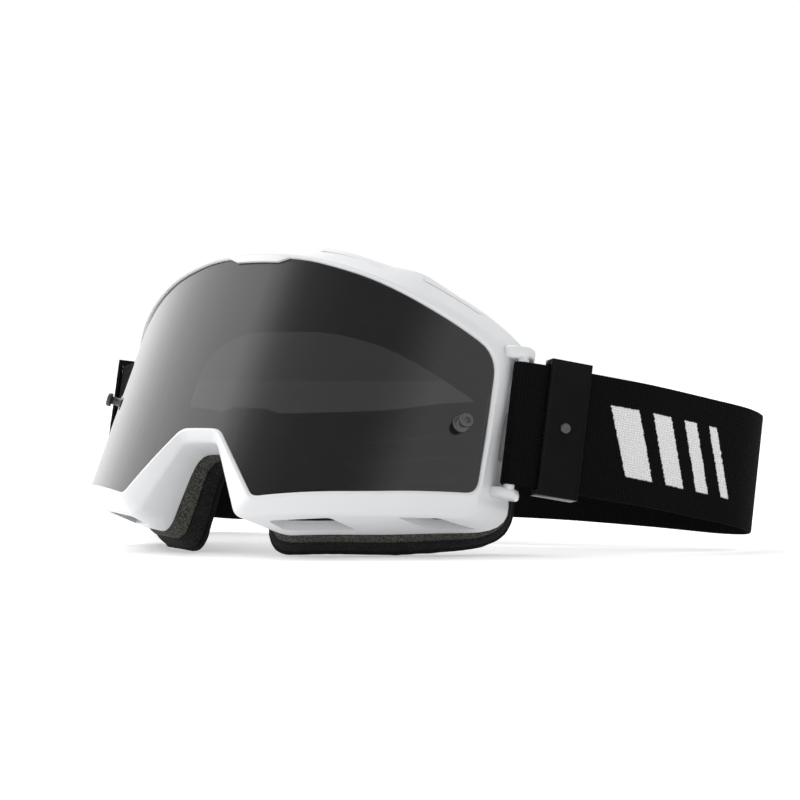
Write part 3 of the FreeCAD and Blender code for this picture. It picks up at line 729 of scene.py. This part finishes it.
silicone = Paint("silicone_black", {"Base Color": (0.035, 0.035, 0.037, 1.0), "Coat Weight": 0.3})
silicone.feed("Roughness", 0.3 + 0.15 * silicone.grain(500.0))
BEAD_LOWS = (-8.2, -17.2, -26.2)
BEAD_WIDTH = 1.6
BEAD_HEIGHT = 0.5
GRIP_SPAN = (-96.0, 100.0)  # the lines run along the stretch behind the head
GRIP_START_Y = 118.0
grip_line = [p for p in route if GRIP_SPAN[0] < p.x < GRIP_SPAN[1] and p.y > GRIP_START_Y]
for number, bead_low in enumerate(BEAD_LOWS):
    foot = 0.5 * STRAP_THICKNESS
    bead = [(foot - 0.1, bead_low), (foot + 0.3, bead_low + 0.15), (foot + BEAD_HEIGHT, bead_low + 0.55),
            (foot + BEAD_HEIGHT, bead_low + BEAD_WIDTH - 0.55), (foot + 0.3, bead_low + BEAD_WIDTH - 0.15),
            (foot - 0.1, bead_low + BEAD_WIDTH)]
    nodes = ("grip_beads",) if number == 0 else ()
    own(piece("grip_bead_" + str(number + 1), band(grip_line, bead), (), 60.0),
        "goggles", "silicone_black", silicone, *nodes)

# ==== sliders =================================================================================
# Each slider is a glossy black plastic loop round both layers of the strap. A raised edge runs
# round its outer plate, and a small round stud is set near the middle.
SLIDER_LENGTH = 15.8
SLIDER_WALL = 1.6
SLIDER_BRIDGE = 2.0
SLIDER_GAP = 0.35
SLOT_ROOM = 0.5             # above and below the webbing inside the loop
SLIDER_RIM = 1.1            # width of the raised edge of the outer plate
SLIDER_STEP = 0.25          # width and depth of the step inside that edge
SLIDER_RECESS = 0.3
NEAR = 0.01
STUD_Z = -16.0
STUD_SINK = 0.8             # the stud's profile starts this far inside the outer plate
STUD_PROFILE = [(0.0, 0.6), (1.9, 0.6), (1.9, 1.1), (1.7, 1.45), (1.2, 1.6), (0.9, 1.5), (0.0, 1.45)]

slider_black = Paint("slider_black", {"Specular IOR Level": 0.05, "Coat Weight": 0.02,
                                      "Coat Roughness": 0.05})
haze = slider_black.grain(90.0, 3.0)
slider_black.feed("Base Color", slider_black.mix(haze, (0.002, 0.002, 0.0025), (0.0055, 0.0055, 0.006)))
slider_black.feed("Roughness", 0.14 + 0.16 * haze)
outer_low = -0.5 * STRAP_THICKNESS - SLIDER_GAP
outer_high = LAYER_PITCH + 0.5 * STRAP_THICKNESS + SLIDER_GAP
z_low = STRAP_TOP - STRAP_WIDTH - SLOT_ROOM
z_high = STRAP_TOP + SLOT_ROOM
z_middle = 0.5 * (z_low + z_high)
for side_name, middle in SLIDER_PLACE.items():
    sign = 1 if side_name == "right" else -1
    bm = bmesh.new()
    bmesh.ops.create_cube(bm, size=1.0)
    size = (SLIDER_LENGTH, outer_high - outer_low + 2 * SLIDER_WALL, z_high - z_low + 2 * SLIDER_BRIDGE)
    bmesh.ops.scale(bm, vec=size, verts=bm.verts)
    bmesh.ops.translate(bm, vec=(0, 0.5 * (outer_low + outer_high), z_middle), verts=bm.verts)
    ends = [face for face in bm.faces if abs(face.normal.x) > 0.9]
    bmesh.ops.inset_individual(bm, faces=ends, thickness=SLIDER_WALL, depth=0.0)
    for vert in bm.verts:
        if z_low - SLIDER_BRIDGE + NEAR < vert.co.z < z_high + SLIDER_BRIDGE - NEAR:
            vert.co.z = z_high if vert.co.z > z_middle else z_low
    rims = [[edge for edge in face.edges] for face in ends]
    bmesh.ops.delete(bm, geom=ends, context="FACES_ONLY")
    bmesh.ops.bridge_loops(bm, edges=rims[0] + rims[1])
    plate = [face for face in bm.faces if face.calc_center_median().y < outer_low - SLIDER_WALL + NEAR
             and abs(face.normal.y) > 0.9]
    bmesh.ops.inset_region(bm, faces=plate, thickness=SLIDER_RIM, depth=0.0)
    bmesh.ops.inset_region(bm, faces=plate, thickness=SLIDER_STEP, depth=-SLIDER_RECESS)
    bmesh.ops.recalc_face_normals(bm, faces=bm.faces)
    stud = turned(STUD_PROFILE, 32)
    tip = Matrix.Rotation(math.radians(90), 4, "X")
    stud_seat = Matrix.Translation((0, outer_low - SLIDER_WALL + STUD_SINK, STUD_Z))
    bmesh.ops.transform(stud, matrix=stud_seat @ tip, verts=stud.verts)
    turn = Matrix.Rotation(math.atan2(RUN_DIRECTION.y, RUN_DIRECTION.x), 4, "Z")
    seat = Matrix.Scale(sign, 4, (1, 0, 0)) @ Matrix.Translation(middle) @ turn
    for made in (bm, stud):
        bmesh.ops.transform(made, matrix=seat, verts=made.verts)
        bmesh.ops.recalc_face_normals(made, faces=made.faces)
    body = side_name + "_slider"
    own(piece("slider_loop_" + side_name, leaned(bm), [softened(0.3, 2)]), body, "slider_black",
        slider_black, "slider_" + side_name)
    # The black stud is painted the lighter post grey instead of slider black: a painted highlight.
    own(piece("slider_stud_cap_" + side_name, leaned(stud), (), 50.0), body, "slider_black",
        post_grey, "slider_stud_" + side_name)

# ==== studio ==================================================================================
# A pale floor, two soft lamps and a white room that is brighter on the wearer's right and
# dimmer overhead in front. The camera stands level with the goggles, in front of them and
# to the wearer's left.
CAMERA_PLACE = Vector((0.76726, -1.04074, 0.06528))
CAMERA_LOOK = Vector((-0.57926, 0.81511, -0.00733))
DIM_DIRECTION = (0.15, -0.5, 0.83)
BRIGHT_DIRECTION = (-0.85, -0.2, 0.49)
ROOM_LEVEL = 1.0
BRIGHT_GAIN = 1.9
FLOOR_HALF = 30.0

floor_bm = bmesh.new()
bmesh.ops.create_grid(floor_bm, x_segments=2, y_segments=2, size=FLOOR_HALF)
floor = piece("floor", floor_bm)
floor_paint = Paint("floor_pale", {"Roughness": 0.9, "Specular IOR Level": 0.1,
                                   "Base Color": (0.8, 0.8, 0.8, 1.0), "Emission Strength": 0.3,
                                   "Emission Color": (1.0, 1.0, 1.0, 1.0)})
floor.data.materials.append(floor_paint.material)

room = bpy.data.worlds.new("room")
bpy.context.scene.world = room
room.use_nodes = True
room_nodes = room.node_tree.nodes
room_links = room.node_tree.links
look = room_nodes.new("ShaderNodeTexCoord")


def room_light(direction, stops):
    """Light of the room that changes with the angle from one direction."""
    dot = room_nodes.new("ShaderNodeVectorMath")
    dot.operation = "DOT_PRODUCT"
    dot.inputs[1].default_value = Vector(direction).normalized()
    room_links.new(look.outputs["Generated"], dot.inputs[0])
    ramp = room_nodes.new("ShaderNodeValToRGB")
    ramp.color_ramp.interpolation = "EASE"
    for element, (position, level) in zip(ramp.color_ramp.elements, stops):
        element.position = position
        element.color = (level, level, level, 1.0)
    room_links.new(dot.outputs["Value"], ramp.inputs[0])
    return ramp.outputs[0]


dimming = room_light(DIM_DIRECTION, [(0.74, 1.0), (0.96, 0.22)])
brightening = room_light(BRIGHT_DIRECTION, [(0.35, 0.0), (0.95, 1.0)])
glow = room_nodes.new("ShaderNodeMath")
glow.operation = "MULTIPLY_ADD"
glow.inputs[1].default_value = BRIGHT_GAIN
glow.inputs[2].default_value = ROOM_LEVEL
room_links.new(brightening, glow.inputs[0])
total = room_nodes.new("ShaderNodeMath")
total.operation = "MULTIPLY"
room_links.new(glow.outputs[0], total.inputs[0])
room_links.new(dimming, total.inputs[1])
room_links.new(total.outputs[0], room_nodes["Background"].inputs["Strength"])
room_nodes["Background"].inputs["Color"].default_value = (1.0, 1.0, 1.0, 1.0)


def lamp(name, place, aim, size, power):
    """Square soft lamp that points from a place to an aim."""
    light = bpy.data.lights.new(name, "AREA")
    light.energy = power
    light.size = size
    made = bpy.data.objects.new(name, light)
    made.location = place
    made.rotation_mode = "QUATERNION"
    made.rotation_quaternion = (Vector(aim) - Vector(place)).to_track_quat("-Z", "Y")
    made.visible_glossy = False
    bpy.context.scene.collection.objects.link(made)
    return made


lamp("key_lamp", (-0.9, -0.6, 1.5), (0, 0, 0.05), 0.8, 1.6)
lamp("rear_lamp", (0.6, 1.2, 1.2), (0, 0, 0.05), 1.0, 1.0)

camera_data = bpy.data.cameras.new("camera")
camera_data.lens = 153.8
camera_data.sensor_width = 36.0
camera_data.clip_start = 0.01
camera_data.clip_end = 100.0
camera = bpy.data.objects.new("camera", camera_data)
camera.location = CAMERA_PLACE
camera.rotation_mode = "QUATERNION"
camera.rotation_quaternion = CAMERA_LOOK.to_track_quat("-Z", "Y")
bpy.context.scene.collection.objects.link(camera)
bpy.context.scene.camera = camera
bpy.context.scene.view_settings.view_transform = "Standard"
